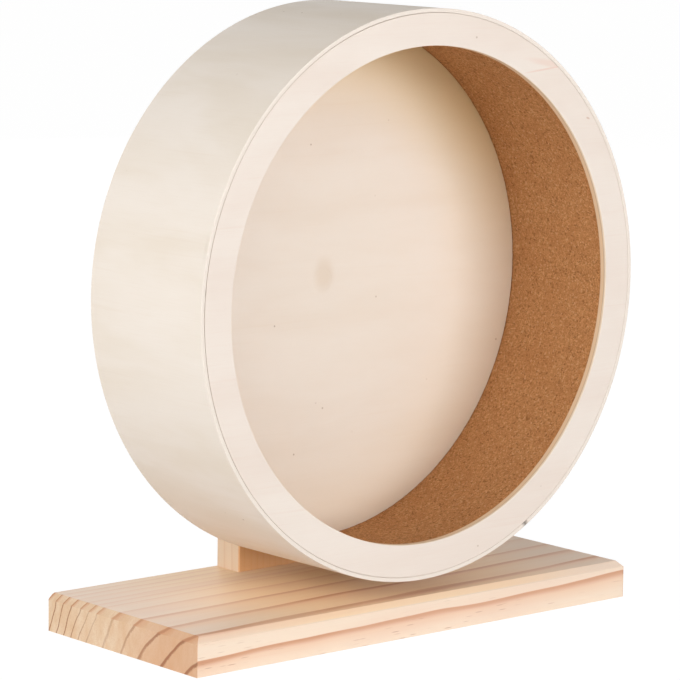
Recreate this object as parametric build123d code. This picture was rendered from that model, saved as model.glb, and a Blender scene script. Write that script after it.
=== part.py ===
from build123d import *
import os

# Rodent exercise wheel of plywood and cork on a pine stand, in millimetres.
# X runs across, Y from the open front to the stand behind, Z up.
# The origin is under the middle of the base board.

# Driving dimensions

# Drum
wheel_diameter = 280.0
drum_depth = 85.0
skin_thickness = 2.0
skin_seam_width = 0.15
skin_seam_angle = -60.0
hoop_thickness = 3.5
cork_thickness = 3.0
ring_thickness = 4.0
ring_width = 16.0
disc_thickness = 6.0

# Stand
board_length = 281.0
board_thickness = 19.0
board_chamfer = 3.0
board_back_arris = 0.8
wheel_over_board = 9.0
post_width = 73.0
post_thickness = 18.0
post_setback = 1.5
post_above_axle = 32.0
post_corner_radius = 16.0
post_edge_chamfer = 0.8

# Hub block and the plug that hides the bolt head
hub_diameter = 60.0
hub_edge_chamfer = 1.5
plug_diameter = 12.0
plug_thickness = 1.8

# Ball bearings, a pair side by side in the hub block
bearing_outer_diameter = 19.0
bearing_bore = 6.0
bearing_width = 6.0
race_wall = 2.0
race_edge_chamfer = 0.3
ball_diameter = 3.5
ball_count = 7
cage_wall = 1.3
cage_front = 0.9
cage_spine = 0.5
shield_thickness = 0.25
shield_inset = 0.1

# Axle bolt, washers and lock nut
bolt_head_diameter = 10.5
bolt_head_height = 3.3
bolt_head_crown = 1.9
bolt_tip_chamfer = 0.6
bolt_proud = 0.4
socket_across_flats = 4.0
socket_depth = 2.0
shim_diameter = 9.0
shim_thickness = 0.5
spacer_diameter = 9.0
spacer_thickness = 1.5
washer_diameter = 12.0
washer_thickness = 1.6
nut_across_flats = 10.0
nut_height = 6.0
nut_insert_height = 1.6
nut_insert_wall = 1.0
nut_recess_diameter = 17.0
nut_recess_depth = 10.0

# Wood screws and dowels
hub_screw_count = 4
hub_screw_circle = 42.0
hub_screw_diameter = 3.5
hub_screw_head = 7.0
hub_screw_length = 16.0
post_screw_spacing = 24.0
post_screw_diameter = 4.0
post_screw_head = 8.0
post_screw_length = 50.0
screw_head_sink = 0.3
screw_slot_width = 1.0
screw_slot_depth = 0.9
dowel_spacing = 54.0
dowel_diameter = 8.0
dowel_in_board = 12.0
dowel_in_post = 18.0
dowel_chamfer = 0.8

# Clearances
glue_gap = 0.05
ring_gap = 0.15
sliding_fit = 0.05
ball_gap = 0.08
pocket_gap = 0.15
shield_gap = 0.3
bore_clearance = 0.1
hole_end_gap = 0.5

# Radii of the drum wall, from the outside in
wheel_radius = wheel_diameter / 2
skin_inner = wheel_radius - skin_thickness
ring_outer = skin_inner - ring_gap
ring_bore = ring_outer - ring_width
hoop_outer = skin_inner - glue_gap
hoop_inner = hoop_outer - hoop_thickness
cork_outer = hoop_inner - glue_gap
cork_inner = cork_outer - cork_thickness

# Places along the axle, measured back from the front of the drum
disc_front = drum_depth - disc_thickness
hub_length = 2 * bearing_width
hub_back = drum_depth + hub_length
post_front = hub_back + spacer_thickness
post_back = post_front + post_thickness
board_depth = post_back + post_setback
bolt_head_back = drum_depth - shim_thickness
bolt_head_front = bolt_head_back - bolt_head_height
nut_recess_floor = post_back - nut_recess_depth
nut_front = nut_recess_floor + washer_thickness
nut_back = nut_front + nut_height
bolt_tip = nut_back + bolt_proud

# Radii in the bearings
bore_radius = bearing_bore / 2
inner_race_outer = bore_radius + race_wall
outer_race_outer = bearing_outer_diameter / 2
outer_race_inner = outer_race_outer - race_wall
ball_circle = (inner_race_outer + outer_race_inner) / 2
ball_radius = ball_diameter / 2
bolt_radius = bore_radius - sliding_fit

# The axle stands high enough for the drum to clear the board
axle_height = board_thickness + wheel_over_board + wheel_radius
post_top = axle_height + post_above_axle
on_axle = Pos(0, -board_depth / 2, axle_height)


# Helpers

def turned(*points):
    """A solid turned about the axle from (radius, distance back) points."""
    outline = make_face(Polyline(*points, close=True))
    return revolve(outline, Axis.Y)


def tube(outer, inner, front, back):
    """A plain tube about the axle."""
    return turned((inner, front), (outer, front), (outer, back), (inner, back))


def rod(radius, front, back):
    """A plain round bar about the axle."""
    return tube(radius, 0, front, back)


def hexagon_bar(across_flats, front, back):
    """A six-sided bar about the axle."""
    section = Plane.XZ * RegularPolygon(across_flats / 2, 6, major_radius=False)
    return Pos(0, front, 0) * extrude(section, back - front, dir=(0, 1, 0))


def on_circle(circle_radius, count, first_angle=0):
    """Places spread evenly round the axle, each with its own X pointing outwards."""
    angles = [first_angle + 360 * n / count for n in range(count)]
    return [Rot(0, -angle, 0) * Pos(circle_radius, 0, 0) for angle in angles]


def wood_screw(diameter, head, length):
    """A countersunk wood screw along Y, head face at 0 and point at +Y, with a slot."""
    cone = (head - diameter) / 2
    body = turned((0, 0), (head / 2, 0), (diameter / 2, cone),
                  (diameter / 2, length - diameter), (0, length))
    return body - Pos(0, screw_slot_depth / 2, 0) * Box(head, screw_slot_depth, screw_slot_width)


def screw_hole(diameter, head, length):
    """The countersunk hole that such a screw fills, open at 0."""
    cone = (head - diameter) / 2
    shank = diameter / 2 + sliding_fit
    mouth = head / 2 + sliding_fit
    return turned((0, -screw_head_sink), (mouth, -screw_head_sink), (mouth, 0), (shank, cone),
                  (shank, length - diameter + hole_end_gap), (0, length + hole_end_gap))


# Drum

def outer_skin():
    """The thin bent band, closed by a butt seam."""
    band = tube(wheel_radius, skin_inner, 0, drum_depth)
    seam = Pos(wheel_radius, drum_depth / 2, 0) * Box(4 * skin_thickness, 2 * drum_depth, skin_seam_width)
    return band - Rot(0, -skin_seam_angle, 0) * seam


def inner_hoop():
    return tube(hoop_outer, hoop_inner, ring_thickness, disc_front)


def cork_lining():
    return tube(cork_outer, cork_inner, ring_thickness, disc_front)


def front_ring():
    return tube(ring_outer, ring_bore, 0, ring_thickness)


hub_screw_places = on_circle(hub_screw_circle / 2, hub_screw_count, 45)
hub_screw_turn = Pos(0, hub_back - screw_head_sink, 0) * Rot(180, 0, 0)


def back_disc():
    disc = tube(ring_outer, plug_diameter / 2, disc_front, drum_depth)
    for place in hub_screw_places:
        disc -= place * hub_screw_turn * screw_hole(hub_screw_diameter, hub_screw_head, hub_screw_length)
    return disc


def hub_plug():
    return rod(plug_diameter / 2 - sliding_fit, disc_front, disc_front + plug_thickness)


def hub_block():
    radius = hub_diameter / 2
    bore = outer_race_outer + sliding_fit
    block = turned((bore, drum_depth), (radius, drum_depth), (radius, hub_back - hub_edge_chamfer),
                   (radius - hub_edge_chamfer, hub_back), (bore, hub_back))
    for place in hub_screw_places:
        block -= place * hub_screw_turn * screw_hole(hub_screw_diameter, hub_screw_head, hub_screw_length)
    return block


def hub_screws():
    screw = hub_screw_turn * wood_screw(hub_screw_diameter, hub_screw_head, hub_screw_length)
    return [place * screw for place in hub_screw_places]


# One ball bearing, its front face at a given distance back

def race_ring(outer, inner, middle):
    """One race with eased edges and the groove that the balls run in."""
    half = bearing_width / 2
    c = race_edge_chamfer
    front, back = middle - half, middle + half
    ring = turned((inner + c, front), (outer - c, front), (outer, front + c), (outer, back - c),
                  (outer - c, back), (inner + c, back), (inner, back - c), (inner, front + c))
    groove = Pos(0, middle, 0) * Rot(90, 0, 0) * Torus(ball_circle, ball_radius + ball_gap)
    return ring - groove


def ball_set(middle):
    return [Pos(0, middle, 0) * place * Sphere(ball_radius) for place in on_circle(ball_circle, ball_count)]


def ball_cage(middle):
    """A crown cage: a ring with a pocket for each ball, left whole along its spine."""
    pocket_radius = ball_radius + pocket_gap
    pocket = Rot(0, 90, 0) * Cylinder(pocket_radius, 2 * cage_wall)
    cage = tube(ball_circle + cage_wall / 2, ball_circle - cage_wall / 2,
                middle - cage_front, middle + pocket_radius + cage_spine)
    for place in on_circle(ball_circle, ball_count):
        cage -= Pos(0, middle, 0) * place * pocket
    return cage


def shields(middle):
    """The two thin covers, held by the outer race and clear of the inner one."""
    far = bearing_width / 2 - shield_inset
    near = far - shield_thickness
    inner = inner_race_outer + shield_gap
    outer = outer_race_inner - glue_gap
    return [tube(outer, inner, middle - far, middle - near), tube(outer, inner, middle + near, middle + far)]


# Axle

def axle_bolt():
    """A button-head bolt, its head in the drum and its tip in the lock nut."""
    head = bolt_head_diameter / 2
    crown_radius = head - bolt_head_crown
    tip_radius = bolt_radius - bolt_tip_chamfer
    bolt = turned((0, bolt_head_front), (crown_radius, bolt_head_front),
                  (head, bolt_head_front + bolt_head_crown), (head, bolt_head_back),
                  (bolt_radius, bolt_head_back), (bolt_radius, bolt_tip - bolt_tip_chamfer),
                  (tip_radius, bolt_tip), (0, bolt_tip))
    return bolt - hexagon_bar(socket_across_flats, bolt_head_front - 1, bolt_head_front + socket_depth)


def axle_washer(diameter, front, thickness):
    return tube(diameter / 2, bolt_radius + bore_clearance, front, front + thickness)


def lock_nut():
    """A six-sided nut with a recess at its back for the locking insert."""
    nut = hexagon_bar(nut_across_flats, nut_front, nut_back)
    nut -= rod(bolt_radius + sliding_fit, nut_front - 1, nut_back + 1)
    recess = bolt_radius + sliding_fit + nut_insert_wall
    return nut - rod(recess, nut_back - nut_insert_height, nut_back + 1)


def nut_insert():
    inner = bolt_radius + sliding_fit
    return tube(inner + nut_insert_wall - glue_gap, inner, nut_back - nut_insert_height, nut_back)


# Stand

post_middle = -board_depth / 2 + (post_front + post_back) / 2
post_screw_places = [Pos(side * post_screw_spacing / 2, post_middle, screw_head_sink) for side in (-1, 1)]
dowel_places = [Pos(side * dowel_spacing / 2, post_middle, board_thickness) for side in (-1, 1)]


def dowel(diameter, below, above, chamfered):
    """A dowel or its hole, upright, with its ends below and above the joint."""
    radius = diameter / 2
    return turned((0, -below), (radius - chamfered, -below), (radius, chamfered - below),
                  (radius, above - chamfered), (radius - chamfered, above), (0, above)).rotate(Axis.X, 90)


def stand_holes():
    """Everything that is drilled through the joint of board and post."""
    hole = Rot(90, 0, 0) * screw_hole(post_screw_diameter, post_screw_head, post_screw_length)
    socket = dowel(dowel_diameter + 2 * glue_gap, dowel_in_board + hole_end_gap,
                   dowel_in_post + hole_end_gap, dowel_chamfer)
    return [place * hole for place in post_screw_places] + [place * socket for place in dowel_places]


def base_board():
    """A planed board, its top chamfered at the front and ends and eased at the back."""
    board = Pos(0, 0, board_thickness / 2) * Box(board_length, board_depth, board_thickness)
    top_edges = board.faces().sort_by(Axis.Z)[-1].edges().sort_by(Axis.Y)
    board = chamfer(top_edges[:-1], board_chamfer)
    back_edge = board.faces().sort_by(Axis.Z)[-1].edges().sort_by(Axis.Y)[-1]
    board = chamfer(back_edge, board_back_arris)
    for hole in stand_holes():
        board -= hole
    return board


def upright_post():
    """The upright, with rounded top corners, the axle hole and the nut's recess."""
    height = post_top - board_thickness
    post = Pos(0, post_middle, board_thickness + height / 2) * Box(post_width, post_thickness, height)
    top_corners = post.edges().filter_by(Axis.Y).group_by(Axis.Z)[-1]
    post = fillet(top_corners, post_corner_radius)
    post = chamfer(post.edges().filter_by(Axis.Z), post_edge_chamfer)
    post -= on_axle * rod(bolt_radius + bore_clearance, post_front - 1, post_back + 1)
    post -= on_axle * rod(nut_recess_diameter / 2, nut_recess_floor, post_back + 1)
    for hole in stand_holes():
        post -= hole
    return post


def post_screws():
    screw = Rot(90, 0, 0) * wood_screw(post_screw_diameter, post_screw_head, post_screw_length)
    return [place * screw for place in post_screw_places]


def post_dowels():
    peg = dowel(dowel_diameter, dowel_in_board, dowel_in_post, dowel_chamfer)
    return [place * peg for place in dowel_places]


# Every node, by name

turning = {
    "outer_skin": outer_skin(),
    "inner_hoop": inner_hoop(),
    "cork_lining": cork_lining(),
    "front_ring": front_ring(),
    "back_disc": back_disc(),
    "hub_plug": hub_plug(),
    "hub_block": hub_block(),
    "hub_screws": hub_screws(),
    "axle_bolt": axle_bolt(),
    "bolt_head_shim": axle_washer(shim_diameter, bolt_head_back, shim_thickness),
    "axle_spacer": axle_washer(spacer_diameter, hub_back, spacer_thickness),
    "nut_washer": axle_washer(washer_diameter, nut_recess_floor, washer_thickness),
    "lock_nut": lock_nut(),
    "lock_nut_insert": nut_insert(),
}
for number, name in enumerate(("front_bearing", "rear_bearing")):
    middle = drum_depth + (number + 0.5) * bearing_width
    turning[name + "_outer_race"] = race_ring(outer_race_outer, outer_race_inner, middle)
    turning[name + "_inner_race"] = race_ring(inner_race_outer, bore_radius, middle)
    turning[name + "_balls"] = ball_set(middle)
    turning[name + "_cage"] = ball_cage(middle)
    turning[name + "_shields"] = shields(middle)

standing = {
    "base_board": base_board(),
    "upright_post": upright_post(),
    "post_screws": post_screws(),
    "post_dowels": post_dowels(),
}


def save(name, shape, place=Pos(0, 0, 0)):
    """Write one node; a list of solids becomes one group."""
    shapes = shape if isinstance(shape, list) else [shape]
    solids = [solid for one in shapes for solid in (place * one).solids()]
    export_step(solids[0] if len(solids) == 1 else Compound(solids), os.path.join("parts", name + ".step"))


os.makedirs("parts", exist_ok=True)
for name, shape in turning.items():
    save(name, shape, on_axle)
for name, shape in standing.items():
    save(name, shape)
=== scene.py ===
import math

import bmesh
import bpy
from mathutils import Matrix, Vector, noise


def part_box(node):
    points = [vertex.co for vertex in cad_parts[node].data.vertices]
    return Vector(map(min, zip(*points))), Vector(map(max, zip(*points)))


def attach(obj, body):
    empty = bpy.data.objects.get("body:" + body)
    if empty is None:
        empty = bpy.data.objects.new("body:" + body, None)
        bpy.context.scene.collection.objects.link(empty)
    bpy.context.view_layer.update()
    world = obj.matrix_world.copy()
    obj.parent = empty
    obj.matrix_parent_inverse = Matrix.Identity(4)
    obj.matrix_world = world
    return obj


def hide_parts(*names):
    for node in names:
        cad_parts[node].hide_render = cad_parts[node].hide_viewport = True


# A rodent exercise wheel: a plywood drum lined with cork, on a pine stand.
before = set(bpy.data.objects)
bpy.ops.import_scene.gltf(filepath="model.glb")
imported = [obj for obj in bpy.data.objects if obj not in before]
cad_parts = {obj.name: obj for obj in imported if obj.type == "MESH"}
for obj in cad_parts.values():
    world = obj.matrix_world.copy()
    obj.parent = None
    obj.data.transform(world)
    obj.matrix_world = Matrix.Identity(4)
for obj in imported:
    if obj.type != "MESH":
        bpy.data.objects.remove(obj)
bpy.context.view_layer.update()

# Sizes, in metres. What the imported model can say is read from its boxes.

skin_low, skin_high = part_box("outer_skin")
ring_low, ring_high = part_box("front_ring")
cork_low, cork_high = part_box("cork_lining")
disc_low, disc_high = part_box("back_disc")
plug_low, plug_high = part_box("hub_plug")
board_low, board_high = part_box("base_board")
post_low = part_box("upright_post")[0]

axle_height = (skin_low.z + skin_high.z) / 2
drum_front = skin_low.y
drum_back = skin_high.y
wheel_radius = (skin_high.z - skin_low.z) / 2
skin_thickness = 0.002
skin_inner = wheel_radius - skin_thickness
skin_ease = 0.0003
skin_wave_room = 0.0001
seam_angle = -60.0
seam_width = 0.00015

# The split near the band's front edge: where it is, how wide it opens and how deep
split_angle = 166.4
split_spread = 2.0
split_y = drum_front + 0.0023
split_half_width = 0.00025
split_depth = 0.0006

ring_outer = (ring_high.z - ring_low.z) / 2
ring_width = 0.016
ring_bore = ring_outer - ring_width
ring_ease = 0.0003
# Where the ring's joint with the band opens: angle, spread in degrees and greatest gap
ring_openings = ((185, 26, 0.00018), (104, 14, 0.00012))

cork_outer = (cork_high.x - cork_low.x) / 2
cork_thickness = 0.003
cork_inner = cork_outer - cork_thickness
cork_rows = 60
# The unevenness of the cork's face: granules across a metre, and the heights of fine and broad
cork_granules = 520
cork_fine_height = 0.00012
cork_broad_height = 0.00008
cork_broad_share = 0.2

disc_radius = (disc_high.z - disc_low.z) / 2
disc_ease = 0.00003
plug_radius = (plug_high.z - plug_low.z) / 2
plug_gap = 0.00003
plug_ease = 0.00005
disc_bore = plug_radius + plug_gap

board_chamfer = 0.003
pine_ease = 0.0004

ROUND_STEPS = 288
CORK_STEPS = 720
PLUG_STEPS = 96
EASE_STEPS = 3
GRAIN_RELIEF = 0.0004


# Mesh helpers

def mesh_piece(name, made):
    """Turn a finished bmesh into a smooth-shaded object."""
    bmesh.ops.recalc_face_normals(made, faces=made.faces)
    mesh = bpy.data.meshes.new(name)
    made.to_mesh(mesh)
    made.free()
    mesh.shade_smooth()
    piece = bpy.data.objects.new(name, mesh)
    bpy.context.scene.collection.objects.link(piece)
    piece.modifiers.new("even_shading", "WEIGHTED_NORMAL")
    return piece


def oblong(inner, outer, front, back):
    """The section of a round piece with a bore, as (radius, Y) corners."""
    return [(inner, front), (outer, front), (outer, back), (inner, back)]


def eased(corners, radius):
    """Round every corner of a closed outline of (radius, Y) points."""
    outline = []
    for n, corner in enumerate(corners):
        corner = Vector(corner)
        before = (Vector(corners[n - 1]) - corner).normalized()
        after = (Vector(corners[(n + 1) % len(corners)]) - corner).normalized()
        start = corner + before * radius
        end = corner + after * radius
        for step in range(EASE_STEPS + 1):
            t = step / EASE_STEPS
            outline.append((1 - t) ** 2 * start + 2 * t * (1 - t) * corner + t ** 2 * end)
    return outline


def divided(start, end, count):
    """Points along one straight side of an outline, the last left out."""
    start, end = Vector(start), Vector(end)
    return [start.lerp(end, n / count) for n in range(count)]


def lathe(name, outline, first=0.0, last=360.0, steps=ROUND_STEPS, shape=None, solid=False):
    """Turn an outline of (radius, Y) points about the axle, from one angle to another.

    The outline is a closed one, except that of a solid piece, whose ends get flat faces.
    shape, where given, takes (radius, y, degrees) and returns the radius and y of that point.
    """
    made = bmesh.new()
    whole = last - first >= 360
    rows = []
    for turn in range(steps if whole else steps + 1):
        degrees = first + (last - first) * turn / steps
        angle = math.radians(degrees)
        row = []
        for radius, y in outline:
            if shape:
                radius, y = shape(radius, y, degrees)
            up = axle_height + radius * math.sin(angle)
            row.append(made.verts.new((radius * math.cos(angle), y, up)))
        rows.append(row)
    following_rows = rows[1:] + rows[:1] if whole else rows[1:]
    sides = len(outline) - 1 if solid else len(outline)
    for row, following in zip(rows, following_rows):
        for n in range(sides):
            m = (n + 1) % len(outline)
            made.faces.new((row[n], row[m], following[m], following[n]))
    if solid:
        made.faces.new([row[0] for row in rows])
        made.faces.new([row[-1] for row in reversed(rows)])
    if not whole:
        made.faces.new(rows[0])
        made.faces.new(reversed(rows[-1]))
    return mesh_piece(name, made)


def softened(name, node, width):
    """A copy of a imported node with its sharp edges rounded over."""
    made = bmesh.new()
    made.from_mesh(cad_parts[node].data)
    bmesh.ops.remove_doubles(made, verts=made.verts, dist=1e-6)
    bmesh.ops.dissolve_limit(made, angle_limit=math.radians(1), verts=made.verts, edges=made.edges)
    piece = mesh_piece(name, made)
    rounding = piece.modifiers.new("rounding", "BEVEL")
    rounding.width = width
    rounding.segments = 3
    rounding.limit_method = "ANGLE"
    rounding.angle_limit = math.radians(40)
    piece.modifiers.move(1, 0)
    return piece


# Shader helpers

class Value:
    """A number or colour that varies over a surface. Arithmetic on it adds Math nodes."""

    def __init__(self, nodes, socket):
        self.nodes = nodes
        self.socket = socket

    def math(self, operation, *others):
        sockets = dict(enumerate((self, *others)))
        return self.nodes.node("Math", {"operation": operation}, sockets)

    def __add__(self, other):
        return self.math("ADD", other)

    def __sub__(self, other):
        return self.math("SUBTRACT", other)

    def __mul__(self, other):
        return self.math("MULTIPLY", other)

    def __truediv__(self, other):
        return self.math("DIVIDE", other)

    def __rsub__(self, other):
        return self.nodes.node("Math", {"operation": "SUBTRACT"}, {0: other, 1: self})

    __radd__ = __add__
    __rmul__ = __mul__

    def step(self, low, high, out_low=0.0, out_high=1.0):
        """Rise smoothly from out_low to out_high as the value goes from low to high."""
        sockets = {"Value": self, "From Min": low, "From Max": high,
                   "To Min": out_low, "To Max": out_high}
        return self.nodes.node("MapRange", {"interpolation_type": "SMOOTHSTEP"}, sockets)

    def hypotenuse(self, other):
        """The long side of a right angle whose short sides are this value and another."""
        return (self * self + other * other).math("SQRT")


class Nodes:
    """The node tree of a material or a world."""

    def __init__(self, owner):
        owner.use_nodes = True
        self.tree = owner.node_tree
        self.tree.nodes.clear()

    def node(self, kind, settings=None, sockets=None, out=0):
        """Add a node: its settings first, then the values or links of its sockets."""
        made = self.tree.nodes.new("ShaderNode" + kind)
        for key, value in (settings or {}).items():
            setattr(made, key, value)
        for key, value in (sockets or {}).items():
            if isinstance(value, Value):
                self.tree.links.new(value.socket, made.inputs[key])
            else:
                made.inputs[key].default_value = value
        return Value(self, made.outputs[out]) if made.outputs else None


class Finish(Nodes):
    """One material. x, y and z are the place on the piece, in metres."""

    def __init__(self, name):
        self.material = bpy.data.materials.new(name)
        super().__init__(self.material)
        self.place = self.node("TexCoord", out="Object")
        self.x, self.y, self.z = [self.node("SeparateXYZ", sockets={0: self.place}, out=axis)
                                  for axis in "XYZ"]

    def stretched(self, scale):
        """The place on the piece times a scale: one number, or one for each axis."""
        if not isinstance(scale, tuple):
            scale = (scale,) * 3
        return self.node("VectorMath", {"operation": "MULTIPLY"}, {0: self.place, 1: scale})

    def noise(self, scale, detail, roughness=0.5, distortion=0.0):
        sockets = {"Vector": self.stretched(scale), "Scale": 1.0, "Detail": detail,
                   "Roughness": roughness, "Distortion": distortion}
        return self.node("TexNoise", sockets=sockets)

    def cells(self, scale, out="Distance", feature="F1"):
        sockets = {"Vector": self.stretched(scale), "Scale": 1.0}
        return self.node("TexVoronoi", {"feature": feature}, sockets, out)

    def mix(self, factor, first, second):
        """Mix two colours, each a link or a plain (r, g, b)."""
        sockets = {0: factor, 6: rgba(first), 7: rgba(second)}
        return self.node("Mix", {"data_type": "RGBA"}, sockets, out=2)

    def radius(self):
        """Distance from the axle."""
        return self.x.hypotenuse(self.z - axle_height)

    def surface(self, colour, roughness, relief, strength, depth=GRAIN_RELIEF,
                metallic=0.0, specular=0.5):
        """The finished material: its colour, its sheen and how strongly the relief shows."""
        bump = self.node("Bump", sockets={"Strength": strength, "Distance": depth,
                                          "Height": relief})
        shader = self.node("BsdfPrincipled", sockets={
            "Base Color": rgba(colour), "Roughness": roughness, "Metallic": metallic,
            "Specular IOR Level": specular, "Normal": bump})
        self.node("OutputMaterial", sockets={"Surface": shader})
        return self.material


def rgba(colour):
    """A link as it is, or a plain (r, g, b) made opaque."""
    return colour if isinstance(colour, Value) else (*colour, 1.0)


def linear(red, green, blue):
    """A colour as seen on a screen, 0 to 255, in the light values that Blender uses."""
    def channel(value):
        value /= 255
        return value / 12.92 if value <= 0.04045 else ((value + 0.055) / 1.055) ** 2.4
    return channel(red), channel(green), channel(blue)


# Finishes of the plywood

def blot(finish, x, up, length, width, degrees):
    """A soft patch on a face square to the axle, x and up from the axle, 1 in its middle."""
    slope = math.radians(degrees)
    dx = finish.x - x
    dz = finish.z - (axle_height + up)
    along = (dx * math.cos(slope) + dz * math.sin(slope)) / (length / 2)
    across = (dz * math.cos(slope) - dx * math.sin(slope)) / (width / 2)
    return 1 - along.hypotenuse(across).step(0.3, 1.0)


def poplar_face(finish, pale, deep, streak, along, streaking):
    """Peeled poplar veneer: soft clouds, faint grain along one axis and a few specks.

    streaking is how strongly the grain shows. Gives the colour, the relief and the clouds.
    """
    def grained(across_grain, along_grain):
        return tuple(along_grain if axis == along else across_grain for axis in "xyz")

    clouds = finish.noise(grained(38.0, 9.0), 3.0, 0.55, 0.4)
    lines = finish.noise(grained(420.0, 7.0), 4.0, 0.6, 0.3)
    fibres = finish.noise(grained(2600.0, 60.0), 2.0, 0.5)
    specks = finish.cells(95.0)
    speck_brown = (0.35, 0.22, 0.12)
    colour = finish.mix(clouds.step(0.3, 0.75), pale, deep)
    colour = finish.mix(lines.step(0.58, 0.8) * streaking, colour, streak)
    colour = finish.mix(fibres.step(0.45, 0.8) * 0.12, colour, streak)
    speck_mask = (1 - specks.step(0.03, 0.07)) * clouds.step(0.5, 0.62)
    colour = finish.mix(speck_mask * 0.6, colour, speck_brown)
    return colour, fibres * 0.6 + lines * 0.4, clouds


def bore_plies(finish):
    """The plies on the ring's cut bore: a pale face veneer, a glue line and a tan core, and painted
    shade along its back edge.
    """
    veneer, core, glue = linear(241, 224, 202), linear(234, 206, 172), linear(176, 130, 92)
    front_glue = 0.00125
    half_change = 0.00015
    back_shade_from, back_shade_to = 0.0036, 0.0039
    wobble = (finish.noise(60.0, 2.0) - 0.5) * 0.0003
    depth = finish.y - ring_low.y + wobble
    in_core = depth.step(front_glue - half_change, front_glue + half_change)
    plies = finish.mix(in_core, veneer, core)
    line = 1 - (depth - front_glue).math("ABSOLUTE").step(0.00005, 0.0003)
    plies = finish.mix(line * 0.6, plies, glue)
    # Painted shade: a darker band in the glue colour along the bore's back edge, for the shadow of
    # the back arris
    return finish.mix(depth.step(back_shade_from, back_shade_to) * 0.5, plies, glue)


def skin_finish():
    """The band: creamy, its sawn edges a little greyer."""
    finish = Finish("skin_ply")
    pale, deep, streak = linear(243, 233, 222), linear(237, 225, 210), linear(229, 211, 192)
    sawn = linear(235, 224, 213)
    edge_from, edge_to = 0.0001, 0.0004
    colour, relief, clouds = poplar_face(finish, pale, deep, streak, "y", 0.25)
    outside = 1 - (wheel_radius - finish.radius()).step(0.00002, 0.0002)
    at_front = 1 - (finish.y - drum_front).step(edge_from, edge_to)
    at_back = (finish.y - drum_back).step(-edge_to, -edge_from)
    on_edge = (at_front + at_back).math("MINIMUM", 1.0) * (1 - outside * 0.6)
    colour = finish.mix(on_edge, colour, sawn)
    return finish.surface(colour, clouds.step(0.3, 0.7, 0.62, 0.72), relief, 0.12, specular=0.3)


def ring_finish():
    """The front ring: pale, with two pinkish streaks, a fleck, a small mark, a cut bore and painted
    shade along its outer rim, at the joint with the band.
    """
    finish = Finish("ring_ply")
    pale, deep, streak = linear(235, 224, 214), linear(231, 217, 206), linear(226, 200, 185)
    blush, fleck, scuff = linear(230, 196, 180), linear(190, 142, 112), linear(140, 116, 100)
    painted_gap_shade = linear(200, 182, 168)
    colour, relief, clouds = poplar_face(finish, pale, deep, streak, "x", 0.35)
    # Each mark: x and height from the axle, length, width, slope, strength and colour
    for x, up, length, width, degrees, strength, tint in (
            (0.08, 0.1105, 0.044, 0.005, -10, 0.4, blush),
            (0.076, 0.108, 0.038, 0.0013, 6, 0.6, blush),
            (0.1062, 0.0824, 0.0035, 0.0014, -20, 0.5, fleck),
            (-0.1372, 0.0135, 0.008, 0.0012, 86, 0.4, scuff)):
        mark = blot(finish, x, up, length, width, degrees)
        colour = finish.mix(mark * strength, colour, tint)
    radius = finish.radius()
    # Painted shade along the outer rim, where the joint with the band lies in shadow
    gap_shade_mask = (radius - ring_outer).step(-0.0006, -0.0001)
    colour = finish.mix(gap_shade_mask * 0.4, colour, painted_gap_shade)
    in_bore = 1 - (radius - ring_bore).step(0.00005, 0.0003)
    colour = finish.mix(in_bore, colour, bore_plies(finish))
    return finish.surface(colour, clouds.step(0.3, 0.7, 0.6, 0.7), relief, 0.1, specular=0.3)


def disc_finish():
    """The disc and its plug: creamy; inside, painted shade and light bounced from the cork make it
    warmer towards the upper rim, and it is a warmer tan over the plug.
    """
    finish = Finish("disc_ply")
    pale, deep, streak = linear(247, 237, 225), linear(244, 232, 218), linear(238, 221, 200)
    painted_bounce_shade, tan = linear(229, 201, 148), linear(222, 198, 168)
    colour, relief, clouds = poplar_face(finish, pale, deep, streak, "x", 0.2)
    inside = 1 - (finish.y - disc_low.y).step(0.0005, 0.001)
    # Painted shade and bounced light from the cork: warmer and darker towards the rim, most towards
    # the top
    high = (finish.z - axle_height).step(-0.02, 0.09)
    warm = inside * finish.radius().step(0.07, 0.136) * (high * 0.7 + 0.25)
    colour = finish.mix(warm, colour, painted_bounce_shade)
    over_plug = inside * blot(finish, 0.001, 0.0027, 0.023, 0.017, 90)
    colour = finish.mix(over_plug * 0.3, colour, tan)
    return finish.surface(colour, clouds.step(0.3, 0.7, 0.6, 0.72), relief, 0.1, specular=0.3)


def hoop_finish():
    finish = Finish("hoop_ply")
    pale, deep, streak = linear(226, 205, 178), linear(212, 186, 154), linear(196, 164, 128)
    colour, relief, clouds = poplar_face(finish, pale, deep, streak, "y", 0.5)
    return finish.surface(colour, clouds.step(0.3, 0.7, 0.65, 0.75), relief, 0.1)


# Finish of the cork

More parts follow.
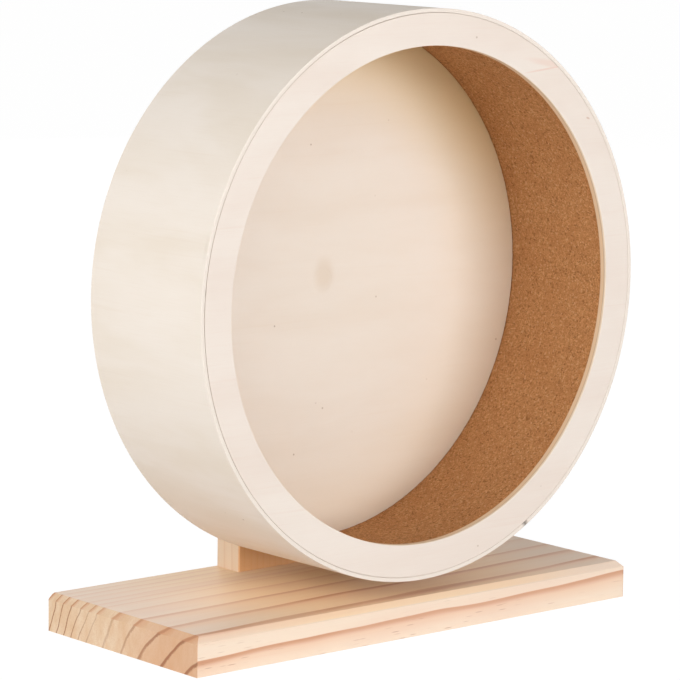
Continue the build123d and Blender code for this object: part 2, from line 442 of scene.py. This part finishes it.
def cork_finish():
    """Fine granules of cork pressed together, with pale and dark flecks among them."""
    finish = Finish("cork")
    granule, fleck = 1500.0, 1050.0
    brown, light_brown = linear(184, 128, 79), linear(220, 166, 113)
    red_brown, joint_brown = linear(190, 130, 80), linear(136, 86, 48)
    pale_fleck, dark_fleck = linear(236, 194, 144), linear(122, 76, 40)
    tone =finish.node("SeparateColor", sockets={0: finish.cells(granule, "Color")})
    joints = finish.cells(granule, feature="DISTANCE_TO_EDGE")
    flecks = finish.node("SeparateColor", sockets={0: finish.cells(fleck, "Color")}, out=1)
    clouds = finish.noise(60.0, 3.0, 0.6)
    colour = finish.mix(tone, brown, light_brown)
    colour = finish.mix(clouds.step(0.35, 0.7) * 0.3, colour, red_brown)
    colour = finish.mix(flecks.step(0.9, 0.95) * 0.4, colour, pale_fleck)
    colour = finish.mix((1 - flecks.step(0.04, 0.1)) * 0.45, colour, dark_fleck)
    colour = finish.mix((1 - joints.step(0.0, 0.09)) * 0.3, colour, joint_brown)
    relief = joints.step(0.0, 0.25) * 0.6 + tone * 0.4
    return finish.surface(colour, tone * 0.1 + 0.82, relief, 0.5, 0.0003, specular=0.2)


# Finishes of the solid wood

# Growth rings of the board, as its left end shows them: the pith lies below and in front,
# and the rings lie closer together from narrow_from outwards
pith_y = board_low.y - 0.037
pith_z = board_low.z - 0.056
first_ring = 0.0737
wide_spacing = 0.0129
narrow_from = 0.134
narrow_extra = 89.0
inner_rings = 10.0
grain_drift = 0.022
grain_warp = 0.006
grain_ripple = 0.0005

# Growth rings of the post and the hub block
post_pith_x = -0.09
post_pith_y = post_low.y - 0.03
post_spacing = 0.0038
hub_pith_below = 0.11
hub_spacing = 0.0045


def pine_colour(finish, phase, fibre_scale, early, late, dark, depth):
    """Pine: pale early wood that deepens to a late-wood line with a sharp outer side.

    phase goes from 0 to 1 across each ring, and depth is how strongly the lines show on a
    face that is cut along the grain. Gives the colour and the fibres.
    """
    late_band = phase.step(0.3, 0.97)
    line = phase.step(0.74, 0.95) * (1 - phase.step(0.98, 1.0))
    fibres = finish.noise(fibre_scale, 3.0, 0.6)
    colour = finish.mix(late_band * (depth * 0.7 + 0.2), early, late)
    colour = finish.mix(line * depth, colour, dark)
    colour = finish.mix(fibres.step(0.5, 0.8) * 0.22, colour, late)
    return colour, fibres


def board_phase(finish):
    """Where in its growth ring each point of the board lies, from 0 to 1."""
    warp = finish.noise((9.0, 45.0, 45.0), 2.0, 0.5)
    ripple = finish.noise((3.0, 200.0, 200.0), 2.0, 0.5)
    radius = (finish.y - pith_y).hypotenuse(finish.z - pith_z)
    radius = radius - (finish.x - board_low.x) * grain_drift
    radius = radius + (warp - 0.5) * grain_warp + (ripple - 0.5) * grain_ripple
    count = (radius - first_ring) / wide_spacing
    narrow = (radius - narrow_from).math("MAXIMUM", 0.0) * narrow_extra
    return (count + narrow + inner_rings).math("FRACT")


def board_end(finish, phase, from_front, forward, on_bevel):
    """The board's sawn ends: open pores, smudges and strong rings, brown towards the front."""
    clean, soiled = linear(240, 215, 186), linear(230, 196, 160)
    pore_brown, front_brown = linear(214, 172, 132), linear(218, 166, 127)
    ring_brown, bevel_brown = linear(156, 94, 60), linear(208, 148, 108)
    pores = finish.noise(1400.0, 2.0, 0.6)
    smudge = finish.noise((40.0, 160.0, 80.0), 3.0, 0.6)
    colour = finish.mix(smudge.step(0.3, 0.7), clean, soiled)
    colour = finish.mix(pores.step(0.4, 0.7) * 0.3, colour, pore_brown)
    colour = finish.mix(forward * 0.65, colour, front_brown)
    strong = forward.math("MAXIMUM", from_front.step(0.08, 0.105))
    line = (phase + (pores - 0.5) * 0.08).step(0.82, 0.9) * (1 - phase.step(0.95, 0.995))
    colour = finish.mix(line * (strong * 0.5 + 0.3), colour, ring_brown)
    return finish.mix(on_bevel * phase.step(0.5, 0.9) * 0.6, colour, bevel_brown)


def board_finish():
    """The base board: planed pine, its rings seen along the grain and on the ends."""
    finish = Finish("pine_board")
    pale_early, painted_bounce_early, front_early = (
        linear(241, 219, 199), linear(252, 222, 184), linear(244, 224, 203))
    late, dark = linear(238, 196, 164), linear(200, 138, 102)
    blush_pink, dash_brown = linear(232, 192, 172), linear(166, 104, 76)
    phase = board_phase(finish)
    from_front = finish.y - board_low.y
    forward = 1 - from_front.step(0.02, 0.075)
    on_front = 1 - from_front.step(0.0002, 0.0006)
    uneven = finish.noise((8.0, 120.0, 120.0), 2.0)
    depth = uneven.step(0.3, 0.7, 0.4, 0.85) * (forward * 0.8 + 0.2)
    depth = depth.math("MAXIMUM", on_front * 0.75)
    side = finish.x.math("ABSOLUTE")
    # The middle of the top, under the drum, is painted brighter and warmer: painted bounce light
    # that lifts the drum's shadow
    early = finish.mix((1 - side.step(0.05, 0.13)) * 0.9, pale_early, painted_bounce_early)
    early = finish.mix(on_front, early, front_early)
    colour, fibres = pine_colour(finish, phase, (16.0, 900.0, 900.0), early, late, dark, depth)
    blush = finish.noise((7.0, 60.0, 60.0), 2.0)
    colour = finish.mix(blush.step(0.45, 0.75) * 0.25, colour, blush_pink)

    on_end = side.step(board_high.x - 0.0004, board_high.x - 0.0002)
    bevel_edge = board_high.x + board_high.z - board_chamfer
    on_bevel = (side + finish.z).step(bevel_edge - 0.0003, bevel_edge - 0.0001)
    end_colour = board_end(finish, phase, from_front, forward, on_bevel)
    colour = finish.mix(on_end.math("MAXIMUM", on_bevel), colour, end_colour)

    # Short brown dashes, mostly along the upper half of the front
    dashes = finish.cells((75.0, 900.0, 900.0))
    clusters = finish.noise((22.0, 60.0, 90.0), 2.0)
    low_down = 1 - finish.z.step(0.002, 0.014) * 0.7
    dash_mask = (1 - dashes.step(0.1, 0.26)) * clusters.step(0.45, 0.6) * low_down
    dash_mask = dash_mask * (0.15 + on_front * 0.85)
    colour = finish.mix(dash_mask * 0.5, colour, dash_brown)
    relief = fibres * 0.5 + phase.step(0.7, 1.0) * 0.5
    return finish.surface(colour, fibres.step(0.3, 0.7, 0.5, 0.62), relief, 0.15, specular=0.35)


def post_finish():
    """The upright: pine with close rings, its front face painted darker and more orange as painted
    shade under the drum.
    """
    finish = Finish("pine_post")
    early, late, dark = linear(233, 208, 181), linear(225, 192, 158), linear(206, 160, 118)
    painted_front_shade = linear(230, 168, 102)
    warp = finish.noise((40.0, 40.0, 8.0), 2.0, 0.5)
    radius = (finish.x - post_pith_x).hypotenuse(finish.y - post_pith_y)
    radius = radius + (warp - 0.5) * 0.005
    phase = (radius / post_spacing).math("FRACT")
    colour, fibres = pine_colour(finish, phase, (900.0, 900.0, 16.0), early, late, dark, 0.2)
    on_front = 1 - (finish.y - post_low.y).step(0.0003, 0.0009)
    # The front face lies in the drum's shadow: painted shade, darker and warmer
    colour = finish.mix(on_front * 0.7, colour, painted_front_shade)
    return finish.surface(colour, fibres.step(0.3, 0.7, 0.5, 0.62), fibres, 0.15, specular=0.35)


def hub_finish():
    """The hub block: turned pine with the grain along the axle."""
    finish = Finish("hub_wood")
    early, late, dark = linear(230, 202, 164), linear(216, 176, 132), linear(188, 138, 94)
    warp = finish.noise((50.0, 12.0, 50.0), 2.0)
    radius = finish.x.hypotenuse(finish.z - (axle_height - hub_pith_below))
    radius = radius + (warp - 0.5) * 0.004
    phase = (radius / hub_spacing).math("FRACT")
    colour, fibres = pine_colour(finish, phase, (900.0, 900.0, 60.0), early, late, dark, 0.6)
    return finish.surface(colour, fibres.step(0.3, 0.7, 0.5, 0.6), fibres, 0.15)


def dowel_finish():
    finish = Finish("dowel_beech")
    pale, deep = linear(214, 178, 138), linear(190, 146, 104)
    flecks = finish.noise((1500.0, 1500.0, 90.0), 3.0, 0.6)
    colour = finish.mix(flecks.step(0.35, 0.7), pale, deep)
    return finish.surface(colour, flecks.step(0.3, 0.7, 0.5, 0.62), flecks, 0.15, 0.0003)


# Finishes of the metal and the nylon

def metal_finish(name, bright, dull, rough_low, rough_high, grain):
    finish = Finish(name)
    clouds = finish.noise(grain, 3.0, 0.6)
    colour = finish.mix(clouds.step(0.35, 0.7), bright, dull)
    rough = clouds.step(0.3, 0.75, rough_low, rough_high)
    return finish.surface(colour, rough, clouds, 0.06, 0.0002, metallic=1.0)


def nylon_finish():
    finish = Finish("nylon")
    pale, deep = linear(232, 227, 210), linear(219, 212, 190)
    clouds = finish.noise(300.0, 3.0, 0.6)
    colour = finish.mix(clouds.step(0.35, 0.7), pale, deep)
    return finish.surface(colour, clouds.step(0.3, 0.7, 0.42, 0.55), clouds, 0.08, 0.0002)


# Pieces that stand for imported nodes

def dressed(piece, node, body, material):
    """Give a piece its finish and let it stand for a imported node."""
    piece.data.materials.clear()
    piece.data.materials.append(material)
    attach(piece, body)
    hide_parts(node)


def skin_wave(degrees):
    """How far the bent band strays from a true circle."""
    around = math.radians(degrees)
    # Each wave: its height, how often it goes round and where it starts
    waves = ((0.00006, 3, 0.4), (0.00004, 7, 1.1))
    return sum(height * math.sin(times * around + start) for height, times, start in waves)


def make_skin():
    """The bent band, a little out of true, with its butt seam and a split near its front edge."""
    outline = eased(oblong(skin_inner, wheel_radius, drum_front, drum_back), skin_ease)
    split_points = [Vector((wheel_radius, split_y + step))
                    for step in (-split_half_width, 0.0, split_half_width)]
    after_front_corner = 2 * (EASE_STEPS + 1)
    outline[after_front_corner:after_front_corner] = split_points

    def shape(radius, y, degrees):
        if y == split_points[1].y:
            from_split = (degrees % 360 - split_angle) / split_spread
            radius -= split_depth * math.exp(-from_split ** 4)
        return radius - skin_wave_room + skin_wave(degrees), y

    half_seam = math.degrees(seam_width / 2 / wheel_radius)
    piece = lathe("outer_skin_band", outline, seam_angle + half_seam,
                  seam_angle + 360 - half_seam, shape=shape)
    dressed(piece, "outer_skin", "wheel", skin_finish())


def make_ring():
    """The flat ring; its joint with the band opens a little on the left and near the top."""
    outline = eased(oblong(ring_bore, ring_outer, ring_low.y, ring_high.y), ring_ease)

    def shape(radius, y, degrees):
        if radius > (ring_bore + ring_outer) / 2:
            gap = sum(widest * math.exp(-((degrees % 360 - middle) / spread) ** 2)
                      for middle, spread, widest in ring_openings)
            radius -= gap - skin_wave(degrees)
        return radius, y

    piece = lathe("front_ring_ply", outline, shape=shape)
    dressed(piece, "front_ring", "wheel", ring_finish())


def make_cork():
    """The cork strip, its running face slightly uneven from the granules."""
    outline = [Vector((cork_outer, cork_low.y)), Vector((cork_outer, cork_high.y))]
    outline += divided((cork_inner, cork_high.y), (cork_inner, cork_low.y), cork_rows)
    outline.append(Vector((cork_inner, cork_low.y)))

    def shape(radius, y, degrees):
        if radius < (cork_inner + cork_outer) / 2:
            around = math.radians(degrees)
            spot = Vector((math.cos(around) * cork_inner, y, math.sin(around) * cork_inner))
            spot *= cork_granules
            radius += cork_fine_height * noise.noise(spot)
            radius += cork_broad_height * noise.noise(spot * cork_broad_share)
        return radius, y

    piece = lathe("cork_track", outline, steps=CORK_STEPS, shape=shape)
    dressed(piece, "cork_lining", "wheel", cork_finish())


def make_disc_and_plug():
    """The disc, and the small round plug with an eased rim that fills its hole flush."""
    finish = disc_finish()
    outline = eased(oblong(disc_bore, disc_radius, disc_low.y, disc_high.y), disc_ease)
    dressed(lathe("back_disc_ply", outline), "back_disc", "wheel", finish)
    outline = [(plug_radius - plug_ease, plug_low.y), (plug_radius, plug_low.y + plug_ease),
               (plug_radius, plug_high.y)]
    plug = lathe("hub_plug_cap", outline, steps=PLUG_STEPS, solid=True)
    dressed(plug, "hub_plug", "wheel", finish)


make_skin()
make_ring()
make_cork()
make_disc_and_plug()
dressed(softened("planed_board", "base_board", pine_ease),
        "base_board", "stand", board_finish())
dressed(softened("planed_post", "upright_post", pine_ease),
        "upright_post", "stand", post_finish())

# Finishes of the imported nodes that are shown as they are

zinc = metal_finish("zinc_steel", (0.62, 0.62, 0.6), (0.5, 0.5, 0.49), 0.28, 0.42, 700.0)
race = metal_finish("bearing_steel", (0.7, 0.7, 0.71), (0.62, 0.62, 0.63), 0.1, 0.2,
                    (300.0, 2000.0, 300.0))
shield = metal_finish("shield_steel", (0.58, 0.58, 0.59), (0.48, 0.48, 0.5), 0.25, 0.38, 900.0)
nylon = nylon_finish()
node_finishes = {"inner_hoop": hoop_finish(), "hub_block": hub_finish(),
                 "post_dowels": dowel_finish(), "lock_nut_insert": nylon}
for node in ("hub_screws", "post_screws", "axle_bolt", "bolt_head_shim", "axle_spacer",
             "nut_washer", "lock_nut"):
    node_finishes[node] = zinc
for bearing in ("front_bearing", "rear_bearing"):
    for part, material in (("outer_race", race), ("inner_race", race), ("balls", race),
                           ("shields", shield), ("cage", nylon)):
        node_finishes[bearing + "_" + part] = material
for node, material in node_finishes.items():
    for material_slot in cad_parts[node].material_slots:
        material_slot.material = material


# Floor, light and camera

def stage_floor():
    """A plain white floor that the camera sees as nearly white, with the shadow kept."""
    made = bmesh.new()
    bmesh.ops.create_grid(made, x_segments=1, y_segments=1, size=12.0)
    floor = mesh_piece("floor", made)
    finish = Finish("floor_white")
    white = finish.mix(finish.noise(2.0, 2.0), (0.86, 0.86, 0.86), (0.88, 0.88, 0.88))
    paper = finish.node("BsdfPrincipled", sockets={
        "Base Color": white, "Roughness": 1.0, "Specular IOR Level": 0.0})
    glow = finish.node("Emission", sockets={"Color": (1.0, 1.0, 1.0, 1.0), "Strength": 1.075})
    seen = finish.node("LightPath", out="Is Camera Ray") * 0.9
    shown = finish.node("MixShader", sockets={0: seen, 1: paper, 2: glow})
    finish.node("OutputMaterial", sockets={"Surface": shown})
    floor.data.materials.append(finish.material)


def white_world(strength):
    """Even light from all round, and white behind the object and in what it reflects."""
    world = bpy.data.worlds.new("studio")
    bpy.context.scene.world = world
    nodes = Nodes(world)
    seen = nodes.node("LightPath", out="Is Camera Ray")
    reflected = nodes.node("LightPath", out="Is Glossy Ray")
    sky = nodes.node("Background", sockets={"Color": (1.0, 0.99, 0.975, 1.0), "Strength": strength})
    white = nodes.node("Background", sockets={"Color": (1.0, 1.0, 1.0, 1.0), "Strength": 1.0})
    either = nodes.node("MixShader", sockets={0: seen.math("MAXIMUM", reflected), 1: sky, 2: white})
    nodes.node("OutputWorld", sockets={"Surface": either})


def softbox(name, place, width, height, watts):
    """A soft rectangular lamp, turned to the middle of the drum."""
    lamp = bpy.data.lights.new(name, "AREA")
    lamp.shape = "RECTANGLE"
    lamp.size = width
    lamp.size_y = height
    lamp.energy = watts
    holder = bpy.data.objects.new(name, lamp)
    holder.location = place
    towards = Vector((0, 0, axle_height)) - Vector(place)
    holder.rotation_euler = towards.to_track_quat("-Z", "Y").to_euler()
    bpy.context.scene.collection.objects.link(holder)


def photo_camera():
    """The photograph's viewpoint, with a long lens."""
    yaw, pitch, roll = math.radians(40.69), math.radians(8.62), math.radians(0.84)
    place = Vector((-1.09002, drum_front - 1.20296, axle_height + 0.22444))
    focal_pixels = 3377.0
    picture_pixels = 680.0
    forward = Vector((math.sin(yaw) * math.cos(pitch), math.cos(yaw) * math.cos(pitch),
                      -math.sin(pitch)))
    level = Vector((math.cos(yaw), -math.sin(yaw), 0))
    upward = level.cross(forward)
    right = math.cos(roll) * level + math.sin(roll) * upward
    top = math.cos(roll) * upward - math.sin(roll) * level
    data = bpy.data.cameras.new("camera")
    data.sensor_width = 36.0
    data.lens = focal_pixels / picture_pixels * data.sensor_width
    data.clip_end = 50.0
    camera = bpy.data.objects.new("camera", data)
    turn = Matrix((right, top, -forward)).transposed()
    camera.matrix_world = Matrix.Translation(place) @ turn.to_4x4()
    bpy.context.scene.collection.objects.link(camera)
    bpy.context.scene.camera = camera


photo_camera()
stage_floor()
white_world(0.28)
softbox("left", (-2.0, -0.2, 0.6), 1.4, 1.4, 22.0)
softbox("upper_left", (-1.6, -1.3, 1.3), 1.4, 1.4, 8.0)
softbox("front_low", (0.2, -2.1, 0.3), 1.4, 0.8, 27.0)
softbox("behind", (0.7, 2.2, 0.8), 1.6, 1.4, 12.0)
bpy.context.scene.view_settings.view_transform = "Standard"
